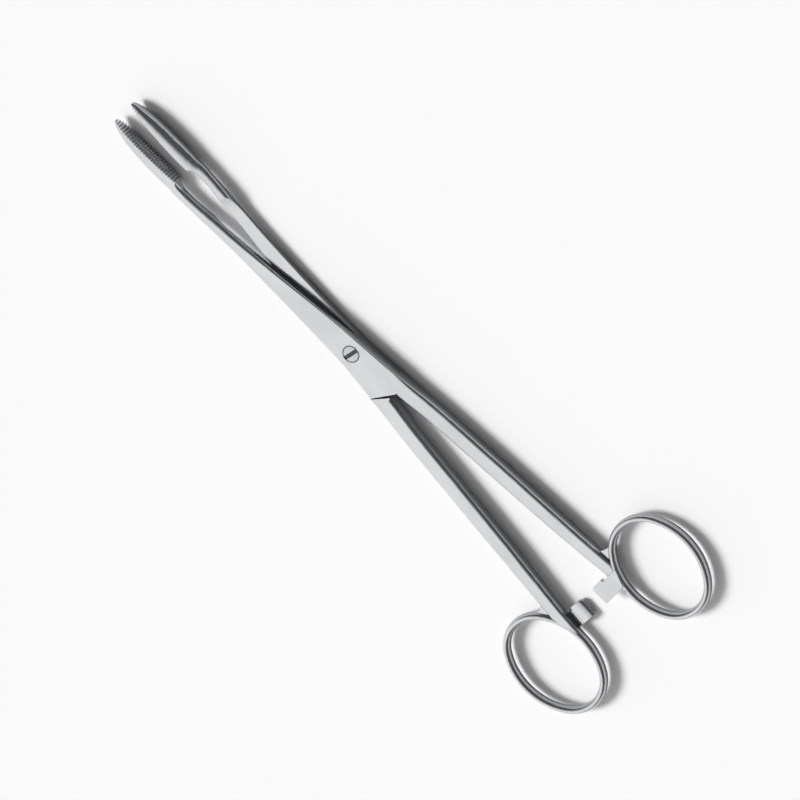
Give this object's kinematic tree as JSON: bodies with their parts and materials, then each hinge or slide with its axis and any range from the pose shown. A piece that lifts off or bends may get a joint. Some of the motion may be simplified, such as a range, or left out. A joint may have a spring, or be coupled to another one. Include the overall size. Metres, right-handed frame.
{
  "type": "dressing forceps",
  "caption": "Straight ring-handled dressing forceps with a screw joint, serrated oval jaws with a lengthwise groove, and a catch on each handle.",
  "frame": {"origin": "pivot axis at the flat rear face of the joint", "axes": "+Y along the closed instrument towards the jaw tips, +Z along the pivot axis towards the screw head"},
  "size_m": [0.0896, 0.2487, 0.0065],
  "materials": {
    "steel": "polished stainless steel",
    "screw_steel": "polished stainless steel"
  },
  "bodies": {
    "rear_arm": {"rear_half": "steel", "pivot_screw": "screw_steel"},
    "front_arm": {"front_half": "steel"}
  },
  "joints": [
    {"name": "pivot", "type": "hinge", "parent": "rear_arm", "child": "front_arm", "pos_m": [0, 0, 0.00255], "axis": [0, 0, 1], "range_deg": [-4.6, 110]}
  ]
}
